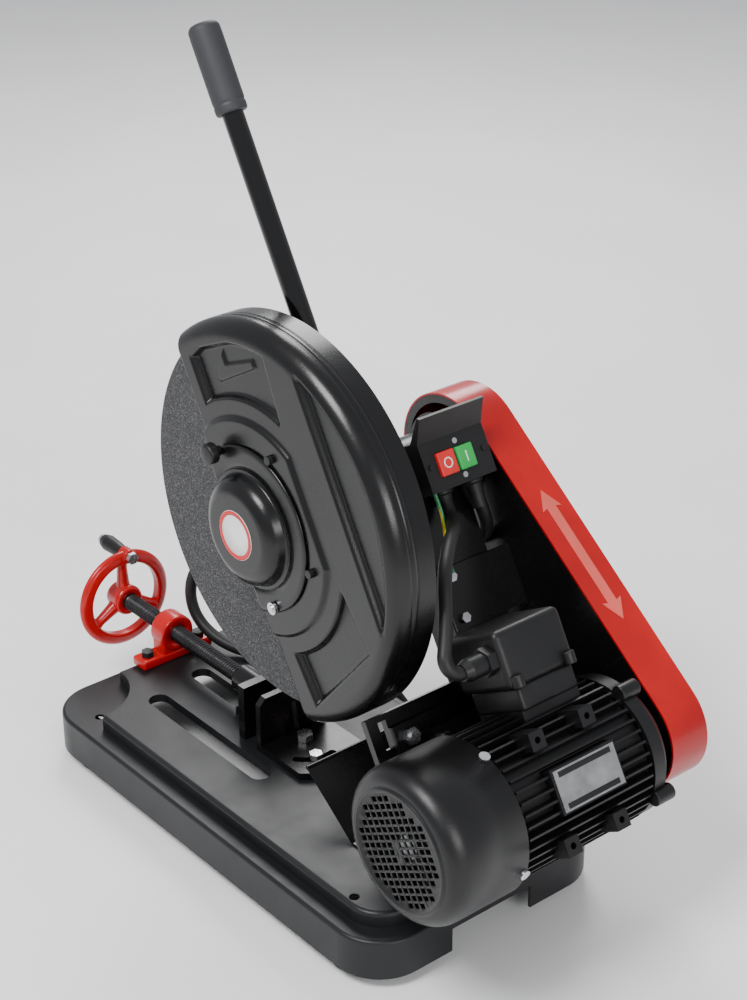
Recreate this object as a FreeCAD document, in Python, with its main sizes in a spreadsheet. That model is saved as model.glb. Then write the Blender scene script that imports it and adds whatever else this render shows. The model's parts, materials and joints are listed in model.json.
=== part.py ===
"""Abrasive chop saw with a 400 mm disc, a tilting belt-driven arm and a screw vise.

Machine frame: origin on the floor, +X to the operator's right, +Y to the rear, +Z up.
Arm frame: origin on the spindle axis, turned about X, so +Y points up and back
(out of the motor plate) and +Z points up and forward (along the handle).
"""
import FreeCAD, Part
import math
import os
import Sketcher

Vector = FreeCAD.Vector
Rotation = FreeCAD.Rotation
Placement = FreeCAD.Placement

DIMENSIONS = {
    # pressed base tray
    "base_width": 321.0, "base_length": 593.0, "base_corner": 55.0,
    "foot_height": 12.5, "ledge_z": 58.0, "plateau_z": 75.0, "ledge_inset": 21.6,
    "plateau_corner": 38.0, "steel_sheet": 3.0, "corner_pad_radius": 70.0,
    "mount_hole_dia": 11.0, "mount_x": 128.0, "mount_y": 229.0, "foot_dia": 48.0,
    "slot_width": 25.0, "vise_slot_front": -218.0, "vise_slot_rear": -50.0,
    "disc_slot_front": -204.0, "disc_slot_rear": 10.0, "disc_x": 70.0,
    # vise
    "screw_z": 109.0, "screw_dia": 20.0, "bracket_front": -277.0, "bracket_rear": -252.0,
    "bracket_half": 49.0, "wheel_y": -365.0, "wheel_radius": 55.5, "rim_radius": 7.0,
    "jaw_half": 44.0, "jaw_face_y": -63.0, "jaw_thick": 11.0, "jaw_top": 142.0,
    "fence_half": 45.6, "fence_face_y": -40.0, "fence_thick": 8.0, "fence_pivot_y": -12.0,
    "quadrant_radius": 66.0, "fence_slot_radius": 39.7,
    # arm
    "spindle_y": 41.0, "spindle_z": 402.0, "arm_tilt": 30.0,
    "motor_y": 141.6, "motor_z": -320.8, "pivot_y": 3.0, "pivot_z": -292.7,
    "pivot_radius": 12.5, "housing_radius": 35.0, "arm_plate_y": 44.0, "motor_plate_y": 53.6,
    "plate_thick": 8.0,
    # disc and spindle
    "disc_radius": 200.0, "disc_thick": 3.2, "disc_bore": 16.0,
    "spindle_radius": 12.5, "flange_radius": 40.0, "bearing_radius": 26.0, "bearing_width": 15.0,
    # guard
    "guard_radius": 211.0, "guard_rear_x": 45.0, "guard_seam_x": 65.0, "guard_front_x": 100.0,
    "guard_chord": -31.0, "guard_sheet": 2.5, "hub_cover_radius": 87.0,
    "hub_screw_y": -5.0, "hub_screw_z": -81.0,
    # belt drive
    "cover_open_x": -155.0, "cover_closed_x": -205.0, "cover_spindle_radius": 68.9,
    "cover_motor_radius": 59.6, "cover_sheet": 2.0,
    "spindle_pulley_radius": 45.0, "motor_pulley_radius": 50.0, "groove_depth": 8.4,
    # motor
    "shell_radius": 66.0, "fin_radius": 76.0, "frame_left": -113.0, "frame_right": 60.0,
    "bell_left": -137.0, "bell_right": 76.0, "stator_radius": 58.0, "rotor_radius": 35.5,
    "motor_shaft_radius": 12.0, "fan_cover_radius": 81.0, "fan_cover_right": 154.0,
    # handle
    "handle_x": 5.0, "handle_y": 62.0, "handle_radius": 11.0, "grip_radius": 16.5,
    "grip_start": 392.0, "handle_top": 484.0,
    # leads
    "lead_radius": 7.0,
    # radial clearance of a shaft in its bore
    "running_gap": 0.05,
}


class Size:
    """A length in millimetres together with the sheet expression that gives it."""

    def __init__(self, value, text):
        self.value = float(value)
        self.text = text

    def combined(self, other, sign, value):
        return Size(value, f"({self.text} {sign} {as_size(other).text})")

    def __add__(self, other):
        return self.combined(other, "+", self.value + as_size(other).value)

    def __sub__(self, other):
        return self.combined(other, "-", self.value - as_size(other).value)

    def __mul__(self, factor):
        return self.combined(factor, "*", self.value * as_size(factor).value)

    def __truediv__(self, factor):
        return self.combined(factor, "/", self.value / as_size(factor).value)

    def __radd__(self, other):
        return as_size(other) + self

    def __rsub__(self, other):
        return as_size(other) - self

    def __neg__(self):
        return self * -1


def as_size(number):
    if isinstance(number, Size):
        return number
    return Size(number, f"({float(number):.6f})")


doc = FreeCAD.newDocument("ChopSaw")
sheet = doc.addObject("Spreadsheet::Sheet", "Dims")
dim = {}
for row, (alias, value) in enumerate(DIMENSIONS.items(), start=1):
    sheet.set(f"A{row}", alias.replace("_", " "))
    sheet.set(f"B{row}", str(value))
    sheet.setAlias(f"B{row}", alias)
    dim[alias] = Size(value, f"Dims.{alias}")
doc.recompute()

BASE = Placement()
ARM = Placement(
    Vector(0, dim["spindle_y"].value, dim["spindle_z"].value),
    Rotation(Vector(1, 0, 0), dim["arm_tilt"].value),
)
COS_TILT = Size(math.cos(math.radians(dim["arm_tilt"].value)), "cos(Dims.arm_tilt * 1 deg)")
SIN_TILT = Size(math.sin(math.radians(dim["arm_tilt"].value)), "sin(Dims.arm_tilt * 1 deg)")
PIVOT_IN_BASE = (
    dim["spindle_y"] + dim["pivot_y"] * COS_TILT - dim["pivot_z"] * SIN_TILT,
    dim["spindle_z"] + dim["pivot_y"] * SIN_TILT + dim["pivot_z"] * COS_TILT,
)
TURN_TO = {
    "x": Rotation(Vector(0, 1, 0), 90),
    "y": Rotation(Vector(1, 0, 0), -90),
    "-y": Rotation(Vector(1, 0, 0), 90),
    "z": Rotation(),
}
PLANES = {"xy": "XY_Plane", "yz": "YZ_Plane", "xz": "XZ_Plane"}
nodes = {}
small_fasteners = []


# ---------------------------------------------------------------- building blocks
def bind(thing, prop, size):
    thing.setExpression(prop, as_size(size).text)


def place(thing, at, rotation=None):
    """Put a primitive at a point given by numbers or sizes."""
    base = Vector(*[as_size(value).value for value in at])
    thing.Placement = Placement(base, rotation or Rotation())
    for axis, value in zip("xyz", at):
        bind(thing, f".Placement.Base.{axis}", value)
    return thing


def box(low, high):
    """A block between two corners."""
    block = doc.addObject("Part::Box", "Block")
    for prop, start, end in zip(("Length", "Width", "Height"), low, high):
        bind(block, prop, as_size(end) - start)
    return place(block, low)


def rod(radius, start, end, axis, at):
    """A round bar along an axis from start to end; at gives its other two coordinates."""
    bar = doc.addObject("Part::Cylinder", "Rod")
    bind(bar, "Radius", radius)
    bind(bar, "Height", as_size(end) - start)
    spots = {"x": (start, at[0], at[1]), "y": (at[0], start, at[1]), "z": (at[0], at[1], start)}
    return place(bar, spots[axis], TURN_TO[axis])


def cone(radius_start, radius_end, start, end, axis, at):
    taper = doc.addObject("Part::Cone", "Taper")
    bind(taper, "Radius1", radius_start)
    bind(taper, "Radius2", radius_end)
    bind(taper, "Height", as_size(end) - start)
    spots = {"x": (start, at[0], at[1]), "y": (at[0], start, at[1]), "z": (at[0], at[1], start)}
    return place(taper, spots[axis], TURN_TO[axis])


def fuse(*shapes):
    joined = doc.addObject("Part::MultiFuse", "Join")
    joined.Shapes = list(shapes)
    joined.Refine = True
    return joined


def cut(base, *tools):
    """Take every tool away from the base."""
    removal = doc.addObject("Part::Cut", "Cut")
    removal.Base = base
    removal.Tool = tools[0] if len(tools) == 1 else fuse(*tools)
    return removal


def common(first, second):
    overlap = doc.addObject("Part::Common", "Common")
    overlap.Base = first
    overlap.Tool = second
    return overlap


def compound(*shapes):
    group = doc.addObject("Part::Compound", "Group")
    group.Links = list(shapes)
    return group


def tube(outer, inner, start, end, axis, at):
    return cut(rod(outer, start, end, axis, at), rod(inner, start, end, axis, at))


def hexagon(across, start, end, axis, at, turn=0):
    """A hexagonal prism, across its flats, along an axis."""
    prism = doc.addObject("Part::Prism", "Hexagon")
    prism.Polygon = 6
    bind(prism, "Circumradius", as_size(across) / math.sqrt(3))
    bind(prism, "Height", as_size(end) - start)
    spots = {"x": (start, at[0], at[1]), "y": (at[0], start, at[1]), "z": (at[0], at[1], start)}
    return place(prism, spots[axis], TURN_TO[axis] * Rotation(Vector(0, 0, 1), turn))


def sketch_on(body, plane):
    origin = [part for part in body.Origin.OriginFeatures if part.Role == PLANES[plane]][0]
    sketch = body.newObject("Sketcher::SketchObject", "Outline")
    sketch.AttachmentSupport = [(origin, "")]
    sketch.MapMode = "FlatFace"
    return sketch


def polygon(sketch, points):
    """A closed outline whose corners are held at sizes from the sheet."""
    corners = [Vector(as_size(u).value, as_size(v).value, 0) for u, v in points]
    first = sketch.GeometryCount
    for start, end in zip(corners, corners[1:] + corners[:1]):
        sketch.addGeometry(Part.LineSegment(start, end), False)
    count = len(corners)
    for index, (u, v) in enumerate(points):
        line = first + index
        following = first + (index + 1) % count
        sketch.addConstraint(Sketcher.Constraint("Coincident", line, 2, following, 1))
        for kind, value in (("DistanceX", u), ("DistanceY", v)):
            size = as_size(value)
            mark = sketch.addConstraint(
                Sketcher.Constraint(kind, -1, 1, line, 1, size.value))
            sketch.setExpression(f"Constraints[{mark}]", size.text)


def body_from(plane, points):
    body = doc.addObject("PartDesign::Body", "Body")
    sketch = sketch_on(body, plane)
    polygon(sketch, points)
    return body, sketch


def extruded(plane, points, start, end):
    """An outline on the xy, yz or xz plane, padded from start to end along the third axis."""
    body, sketch = body_from(plane, points)
    pad = body.newObject("PartDesign::Pad", "Pad")
    pad.Profile = sketch
    bind(pad, "Length", as_size(end) - start)
    doc.recompute()
    move = {"xy": (0, 0, start), "yz": (start, 0, 0), "xz": (0, end, 0)}
    return place(body, move[plane])


def turned(points, at=(0, 0, 0), rotation=None):
    """A profile of (distance along the axis, radius) pairs, turned about X."""
    body, sketch = body_from("xy", points)
    spin = body.newObject("PartDesign::Revolution", "Revolution")
    spin.Profile = sketch
    spin.ReferenceAxis = (sketch, ["H_Axis"])
    spin.Angle = 360
    doc.recompute()
    return place(body, at, rotation)


def rounded(body, radius, wanted):
    """Fillet the edges of a body's last feature that the test accepts."""
    solid = body.Tip
    names = [f"Edge{index}" for index, edge in enumerate(solid.Shape.Edges, start=1) if wanted(edge)]
    fillet = body.newObject("PartDesign::Fillet", "Fillet")
    fillet.Base = (solid, names)
    bind(fillet, "Radius", radius)
    doc.recompute()
    return body


def upright(edge):
    return abs(edge.tangentAt(edge.FirstParameter).z) > 0.999


def rounded_slab(half_x, half_y, low, high, corner, top_round=None):
    """A slab with rounded upright corners and, if wanted, a rounded top rim."""
    points = [(-half_x, -half_y), (half_x, -half_y), (half_x, half_y), (-half_x, half_y)]
    slab = extruded("xy", points, low, high)
    rounded(slab, corner, upright)
    if top_round is not None:
        top = slab.Tip.Shape.BoundBox.ZMax
        rounded(slab, top_round, lambda edge: edge.CenterOfMass.z > top - 0.01)
    return slab


def slot_cutter(half_width, front, rear, low, high, x):
    """A long hole along Y with round ends."""
    middle = box((x - half_width, front + half_width, low), (x + half_width, rear - half_width, high))
    ends = [rod(half_width, low, high, "z", (x, y)) for y in (front + half_width, rear - half_width)]
    return fuse(middle, *ends)


def stadium(radius_a, centre_a, radius_b, centre_b, start, end):
    """The outline that a belt takes round two wheels, as a solid along X."""
    a = [as_size(value).value for value in centre_a]
    b = [as_size(value).value for value in centre_b]
    big, small = as_size(radius_a).value, as_size(radius_b).value
    line = math.atan2(b[1] - a[1], b[0] - a[0])
    lean = math.acos((big - small) / math.hypot(b[0] - a[0], b[1] - a[1]))
    corners = []
    for side, centre, radius in ((1, a, big), (1, b, small), (-1, b, small), (-1, a, big)):
        angle = line + side * lean
        corners.append((centre[0] + radius * math.cos(angle), centre[1] + radius * math.sin(angle)))
    return fuse(
        rod(radius_a, start, end, "x", centre_a),
        rod(radius_b, start, end, "x", centre_b),
        extruded("yz", corners, start, end),
    )


def node(name, thing, frame):
    """Name a finished piece and put it in its frame."""
    piece = thing
    if thing.TypeId in ("Part::Box", "Part::Cylinder", "Part::Cone", "Part::Prism",
                        "PartDesign::Body"):
        piece = compound(thing)
    piece.Placement = frame
    piece.Label = name
    nodes[name] = piece
    return piece


def cable(name, points, radius, frame):
    """A round cable through route points: straight runs joined by tangent arcs."""
    route = [Vector(*point) for point in points]
    edges = []
    start = route[0]
    for before, corner, after in zip(route, route[1:], route[2:]):
        inward = (before - corner).normalize()
        onward = (after - corner).normalize()
        half = (math.pi - inward.getAngle(onward)) / 2
        reach = 0.45 * min(before.distanceToPoint(corner), after.distanceToPoint(corner))
        arc_radius = reach / math.tan(half)
        print(f"{name}: arc radius {arc_radius:.1f} mm at turn {math.degrees(2 * half):.0f}")
        middle = (inward + onward).normalize()
        depth = arc_radius / math.cos(half) - arc_radius
        enter, leave = corner + inward * reach, corner + onward * reach
        edges.append(Part.LineSegment(start, enter).toShape())
        edges.append(Part.Arc(enter, corner + middle * depth, leave).toShape())
        start = leave
    edges.append(Part.LineSegment(start, route[-1]).toShape())
    path = Part.Wire(edges)
    section = Part.Wire(Part.makeCircle(radius, route[0], route[1] - route[0]))
    swept = path.makePipeShell([section], True, False)
    share = swept.Volume / (math.pi * radius ** 2 * path.Length)
    print(f"{name}: length {path.Length:.0f} mm, volume share {share:.4f}")
    piece = doc.addObject("Part::Feature", "Cable")
    piece.Shape = swept
    return node(name, piece, frame)


def bolt(axis, at, head, shank, nut=None, across=13, radius=4):
    """A hexagon-headed bolt; head, shank and nut are (start, end) along the axis."""
    pieces = [hexagon(across, *head, axis, at), rod(radius, *shank, axis, at)]
    if nut is not None:
        pieces.append(hexagon(across, *nut, axis, at))
    return fuse(*pieces)


def both(*values):
    return [value * sign for value in values for sign in (-1, 1)]


# ---------------------------------------------------------------- base
VISE_BOLTS = [(x, -264) for x in (-36, 36)]
PIVOT_BOLTS = [(x, y) for x in (-84, 64) for y in (188, 216)]
DEFLECTOR_BOLTS = [(x, 170) for x in (-60, 60)]
FENCE_CLAMP = (14, 25)
UNDER_PLATEAU = (64, 72)


def make_base_tray():
    half_x, half_y = dim["base_width"] / 2, dim["base_length"] / 2
    inset, wall = dim["ledge_inset"], dim["steel_sheet"]
    bottom, ledge, top = dim["foot_height"], dim["ledge_z"], dim["plateau_z"]
    corner, top_corner = dim["base_corner"], dim["plateau_corner"]
    top_x, top_y = half_x - inset, half_y - inset
    pad_at = (top_x, -top_y)
    pad = dim["corner_pad_radius"]

    lower = rounded_slab(half_x, half_y, bottom, ledge, corner, 4)
    upper = rounded_slab(top_x, top_y, ledge - 1, top, top_corner, 5)
    upper = cut(upper, rod(pad, ledge, top + 1, "z", pad_at))
    lower_hollow = rounded_slab(half_x - wall, half_y - wall, bottom - 1, ledge - wall, corner - wall)
    upper_hollow = rounded_slab(top_x - wall, top_y - wall, ledge - wall - 1, top - wall,
                                top_corner - wall)
    upper_hollow = cut(upper_hollow, rod(pad + wall, ledge - wall, top, "z", pad_at))
    shell = cut(fuse(lower, upper), fuse(lower_hollow, upper_hollow))

    floor = rounded_slab(half_x - 1, half_y - 1, bottom, bottom + wall, corner - 1)
    cross = fuse(box((-95, -half_y, 0), (95, half_y, 30)), box((-half_x, -190, 0), (half_x, 190, 30)))
    corner_plates = cut(floor, cross)

    half_slot = dim["slot_width"] / 2
    slots = [(dim["vise_slot_front"], dim["vise_slot_rear"], as_size(0)),
             (dim["disc_slot_front"], dim["disc_slot_rear"], dim["disc_x"])]
    lips = [slot_cutter(half_slot + wall, front - wall, rear + wall, top - 10, top - 1, x)
            for front, rear, x in slots]
    openings = [slot_cutter(half_slot, front, rear, top - 11, top + 1, x) for front, rear, x in slots]
    mounts = [rod(dim["mount_hole_dia"] / 2, 5, top + 1, "z", (x, y))
              for x in both(dim["mount_x"]) for y in both(dim["mount_y"])]
    bolt_holes = [rod(4.2, 60, top + 1, "z", at) for at in VISE_BOLTS + PIVOT_BOLTS + [FENCE_CLAMP]]
    bolt_holes += [rod(3.2, 60, top + 1, "z", at) for at in DEFLECTOR_BOLTS]
    bolt_holes.append(rod(5.2, 60, top + 1, "z", (0, dim["fence_pivot_y"])))
    rear_mouth = box((-50, half_y - 12, 5), (57, half_y + 2, 40))
    tray = fuse(shell, corner_plates, *lips)
    node("base_tray", cut(tray, *openings, *mounts, *bolt_holes, rear_mouth), BASE)


def make_feet():
    feet = []
    for x in both(dim["mount_x"]):
        for y in both(dim["mount_y"]):
            feet.append(tube(dim["foot_dia"] / 2, dim["mount_hole_dia"] / 2, 0, dim["foot_height"],
                             "z", (x, y)))
    node("rubber_feet", compound(*feet), BASE)


def make_base_bolts():
    top = dim["plateau_z"].value
    bolts = [bolt("z", at, (top + 12, top + 19), (66, top + 14), UNDER_PLATEAU) for at in VISE_BOLTS]
    bolts += [bolt("z", at, (top + 8, top + 15), (66, top + 10), UNDER_PLATEAU) for at in PIVOT_BOLTS]
    bolts += [bolt("z", at, (top + 2.5, top + 7), (66, top + 5), UNDER_PLATEAU, 10, 3)
              for at in DEFLECTOR_BOLTS]
    node("base_bolts", compound(*bolts), BASE)


def make_deflector():
    outline = [(176, 75), (176, 77.5), (162.8, 77.5), (88.5, 132), (87, 130), (161, 75)]
    sheet_piece = fuse(extruded("yz", outline, -75, 75), rod(2.5, -75, 75, "x", (88, 131)))
    holes = [rod(3.2, 70, 80, "z", at) for at in DEFLECTOR_BOLTS]
    node("spark_deflector", cut(sheet_piece, *holes), BASE)


def make_pivot_bracket():
    at = PIVOT_IN_BASE
    top = dim["plateau_z"]
    side = [(178, top), (216, top), (210, at[1]), (170, at[1]), (172, top + 20)]
    pieces = [box((-95, 178, top), (75, 226, top + 8))]
    for start, end in ((-72, -62), (42, 52)):
        pieces.append(extruded("yz", side, start, end))
        pieces.append(rod(22, start, end, "x", at))
    holes = [rod(4.2, 70, 90, "z", spot) for spot in PIVOT_BOLTS]
    bore = rod(dim["pivot_radius"] + 0.02, -80, 60, "x", at)
    node("pivot_bracket", cut(fuse(*pieces), bore, *holes), BASE)
    shaft = fuse(rod(dim["pivot_radius"], -78, 58, "x", at), rod(18, -78, -72, "x", at),
                 rod(18, 52, 58, "x", at))
    node("pivot_shaft", shaft, BASE)


# ---------------------------------------------------------------- vise
def make_vise_bracket():
    front, rear, half = dim["bracket_front"], dim["bracket_rear"], dim["bracket_half"]
    top, screw_z = dim["plateau_z"], dim["screw_z"]
    side = [(-half, top), (half, top), (half, top + 12), (28, top + 12), (20, screw_z),
            (-20, screw_z), (-28, top + 12), (-half, top + 12)]
    casting = fuse(extruded("xz", side, front, rear), rod(22, front, rear, "y", (0, screw_z)))
    bore = rod(dim["screw_dia"] / 2 + dim["running_gap"], front - 1, rear + 1, "y", (0, screw_z))
    holes = [rod(4.2, 70, 95, "z", at) for at in VISE_BOLTS]
    node("vise_bracket", cut(casting, bore, *holes), BASE)


def make_jaw():
    half, face, top = dim["jaw_half"], dim["jaw_face_y"], dim["plateau_z"] + 0.6
    back = face - dim["jaw_thick"]
    at = (0, dim["screw_z"])
    plate = box((-half, back, top), (half, face, dim["jaw_top"]))
    boss = rod(16, -125, back + 1, "y", at)
    foot = box((-20, -113, top), (20, back + 1, top + 8.4))
    web = box((-6, -113, top + 4), (6, back + 1, 97))
    tip_bore = rod(7 + dim["running_gap"], -126, -79, "y", at)
    node("movable_jaw", cut(fuse(plate, boss, foot, web), tip_bore), BASE)
    guide = fuse(box((-11.9, -113, 63), (11.9, -80, top)), box((-20, -113, 59), (20, -80, 64)))
    node("jaw_guide", guide, BASE)


def make_screw():
    at = (0, dim["screw_z"])
    radius = dim["screw_dia"] / 2
    node("vise_screw", fuse(rod(radius, -384, -125.4, "y", at), rod(7, -126, -80, "y", at)), BASE)

    wheel_y, screw_z = dim["wheel_y"], dim["screw_z"]
    rim = doc.addObject("Part::Torus", "Rim")
    bind(rim, "Radius1", dim["wheel_radius"])
    bind(rim, "Radius2", dim["rim_radius"])
    place(rim, (0, wheel_y, screw_z), TURN_TO["y"])
    hub = rod(17, -380, -350, "y", at)
    spokes = []
    for angle in (90, 210, 330):
        spoke = doc.addObject("Part::Cylinder", "Spoke")
        bind(spoke, "Radius", 5)
        bind(spoke, "Height", dim["wheel_radius"])
        outward = Vector(math.cos(math.radians(angle)), 0, math.sin(math.radians(angle)))
        spokes.append(place(spoke, (0, wheel_y, screw_z), Rotation(Vector(0, 0, 1), outward)))
    crank_at = (-8, screw_z + 55)
    boss = rod(10, -373, -357, "y", crank_at)
    holes = [rod(radius + 0.02, -390, -340, "y", at), rod(4.02, -380, -350, "y", crank_at)]
    node("handwheel", cut(fuse(rim, hub, boss, *spokes), *holes), BASE)

    pin = bolt("y", crank_at, (-357, -350.5), (-416, -352))
    node("crank_bolt", fuse(pin, rod(7, -417, -412.8, "y", crank_at)), BASE)
    profile = [(0, 4.08), (0, 8), (8, 10), (28, 9), (38, 7.5), (38, 4.08)]
    grip = turned(profile, (-8, -412.4, screw_z + 55), Rotation(Vector(0, 0, 1), 90))
    node("crank_handle", grip, BASE)


def make_fence():
    half, face, bottom = dim["fence_half"], dim["fence_face_y"], dim["plateau_z"] + 0.5
    rear = face + dim["fence_thick"]
    pivot = (0, dim["fence_pivot_y"])
    upright_plate = extruded("xz", [(-half, bottom), (half, bottom), (half, 134), (half - 8, 142),
                                    (-half, 142)], face, rear)
    disc = rod(dim["quadrant_radius"], bottom, bottom + 8, "z", pivot)
    quadrant = common(disc, box((-half, face, bottom), (half, 60, bottom + 8)))
    rib = extruded("yz", [(rear - 1, bottom + 7), (-24, bottom + 7), (rear - 1, 128)], -3, 3)

    radius = dim["fence_slot_radius"]
    middle = math.atan2(FENCE_CLAMP[0], FENCE_CLAMP[1] - pivot[1].value)
    spread = [middle + math.radians(turn) for turn in (-31, 0, 31)]
    ends = [(radius * math.sin(angle), pivot[1] + radius * math.cos(angle))
            for angle in (spread[0], spread[2])]
    wedge = [(0, pivot[1])] + [(90 * math.sin(angle), pivot[1] + 90 * math.cos(angle))
                               for angle in spread]
    ring = tube(radius + 4.6, radius - 4.6, bottom - 1, bottom + 9, "z", pivot)
    arc_slot = common(ring, extruded("xy", wedge, bottom - 1, bottom + 9))
    slot_ends = [rod(4.6, bottom - 1, bottom + 9, "z", at) for at in ends]
    pivot_hole = rod(5 + dim["running_gap"], bottom - 1, bottom + 9, "z", pivot)
    fence = cut(fuse(upright_plate, quadrant, rib), fuse(arc_slot, *slot_ends), pivot_hole)
    node("fixed_fence", fence, BASE)

    top = dim["plateau_z"].value
    bolts = [
        bolt("z", pivot, (top + 9, top + 17), (66, top + 12), UNDER_PLATEAU, 16, 5),
        bolt("z", FENCE_CLAMP, (top + 9, top + 16), (66, top + 12), UNDER_PLATEAU, 13, 4),
    ]
    node("fence_bolts", compound(*bolts), BASE)


# ---------------------------------------------------------------- arm
SWITCH_BOX = {"left": -146.4, "right": -60.2, "low": -27.5}
MOTOR_BOLTS = [(x, z) for x in (-90, 45) for z in (-383, -243)]
SHEET_SCREWS = [(-71, -114), (-71, -158)]


def make_arm_frame():
    plate_y, thick = dim["arm_plate_y"], dim["plate_thick"]
    pivot = (dim["pivot_y"], dim["pivot_z"])
    column = cut(box((-130, 8, -250), (-58, 48, -20)), box((-126, 12, -251), (-62, 44, -42)))
    saddle = fuse(rod(dim["housing_radius"] + 0.02, -160, 60, "x", (0, 0)),
                  box((-131, 40, SWITCH_BOX["low"]), (-57, 49, -19)))
    plate = box((-125, plate_y, -385), (83, plate_y + thick, -213))
    pieces = [cut(column, saddle), plate, rod(24, -60, 40, "x", pivot)]
    web = [(plate_y + 1, -256), (plate_y + 1, -335), (pivot[0], -316), (pivot[0], -269)]
    for start in (-60, 32):
        pieces.append(extruded("yz", web, start, start + 8))
    holes = [rod(5.2, plate_y - 1, plate_y + thick + 1, "y", at) for at in MOTOR_BOLTS]
    holes.append(box((60, plate_y - 1, -248), (70, plate_y + thick + 1, -219)))
    holes += [rod(3.2, 40, 50, "y", at) for at in SHEET_SCREWS]
    holes.append(rod(16.02, -61, 41, "x", pivot))
    node("arm_frame", cut(fuse(*pieces), *holes), ARM)

    gap = dim["pivot_radius"] + dim["running_gap"]
    bushes = [tube(16, gap, start, start + 20, "x", pivot) for start in (-60, 20)]
    node("pivot_bushes", compound(*bushes), ARM)
    node("return_spring", tube(29, 24.4, -40, 20, "x", pivot), ARM)


def make_motor_plate():
    start = dim["motor_plate_y"]
    end = start + dim["plate_thick"]
    foot_holes = [rod(4.6, start - 1, end + 1, "y", at) for at in motor_foot_spots()]
    slots = []
    for x, z in MOTOR_BOLTS:
        slots += [box((x - 5.2, start - 1, z - 9), (x + 5.2, end + 1, z + 9))]
    plate = box((-105, start, -398), (61, end, -228))
    node("motor_plate", cut(plate, *slots, *foot_holes), ARM)

    bolts = []
    for at in MOTOR_BOLTS:
        rear = end.value
        spacer = rod(9, dim["arm_plate_y"] + dim["plate_thick"], start, "y", at)
        stud = bolt("y", at, (rear, rear + 7), (38, rear + 10), (36, 44), 16, 5)
        bolts.append(fuse(stud, spacer))
    for at in motor_foot_spots():
        bolts.append(bolt("y", at, (72, 78), (54, 74)))
    bolts += [bolt("y", at, (52.5, 57), (42, 54), None, 10, 3) for at in SHEET_SCREWS]
    node("arm_bolts", compound(*bolts), ARM)


def motor_foot_spots():
    middle = dim["motor_z"].value
    return [(x, middle + side) for x in (-60, 12) for side in (-62.5, 62.5)]


def make_housing():
    radius = dim["housing_radius"]
    left, right = -152, 55
    seat, width = dim["bearing_radius"], dim["bearing_width"]
    body = [rod(radius, left, right, "x", (0, 0)), rod(50, left, left + 5.5, "x", (0, 0))]
    handle = (dim["handle_x"], dim["handle_y"])
    body.append(rod(16, -40, 20, "z", handle))
    body.append(box((-6, 25, -38), (16, 62, 18)))
    body.append(box((-110, 30, -15), (-95, 40, 15)))
    inside = [rod(20, left - 1, right + 1, "x", (0, 0)),
              rod(seat, left - 1, left + width, "x", (0, 0)),
              rod(seat, right - width, right + 1, "x", (0, 0)),
              rod(dim["handle_radius"] + 0.02, -38, 30, "z", handle)]
    node("spindle_housing", cut(fuse(*body), *inside), ARM)

    bore = dim["spindle_radius"] + dim["running_gap"]
    bearings = [tube(seat, bore, start, start + width, "x", (0, 0))
                for start in (as_size(left), right - width)]
    node("ball_bearings", compound(*bearings), ARM)


def make_handle():
    at = (dim["handle_x"], dim["handle_y"])
    radius, start, top = dim["handle_radius"], dim["grip_start"], dim["handle_top"]
    node("handle_tube", cut(rod(radius, -37, top - 12, "z", at), rod(radius - 2.5, -38, top - 13, "z", at)),
         ARM)
    node("handle_grip", cut(rod(dim["grip_radius"], start, top, "z", at),
                            rod(radius, start - 1, top - 12, "z", at)), ARM)


# ---------------------------------------------------------------- disc side
def make_spindle():
    radius, disc_x = dim["spindle_radius"], dim["disc_x"]
    half_disc = dim["disc_thick"] / 2
    inner, outer = disc_x - half_disc, disc_x + half_disc
    node("spindle_shaft", rod(radius, -198, 96, "x", (0, 0)), ARM)
    node("cutting_disc", tube(dim["disc_radius"], dim["disc_bore"], inner, outer, "x", (0, 0)), ARM)
    inner_flange = fuse(rod(dim["flange_radius"], inner - 8, inner, "x", (0, 0)),
                        rod(dim["disc_bore"], inner - 1, outer, "x", (0, 0)))
    outer_flange = rod(dim["flange_radius"], outer, outer + 8, "x", (0, 0))
    flanges = [cut(piece, rod(radius, 50, 100, "x", (0, 0))) for piece in (inner_flange, outer_flange)]
    node("disc_flanges", compound(*flanges), ARM)
    nut = cut(hexagon(36, outer + 8, outer + 20, "x", (0, 0)), rod(radius, 70, 100, "x", (0, 0)))
    node("spindle_nut", nut, ARM)


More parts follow.
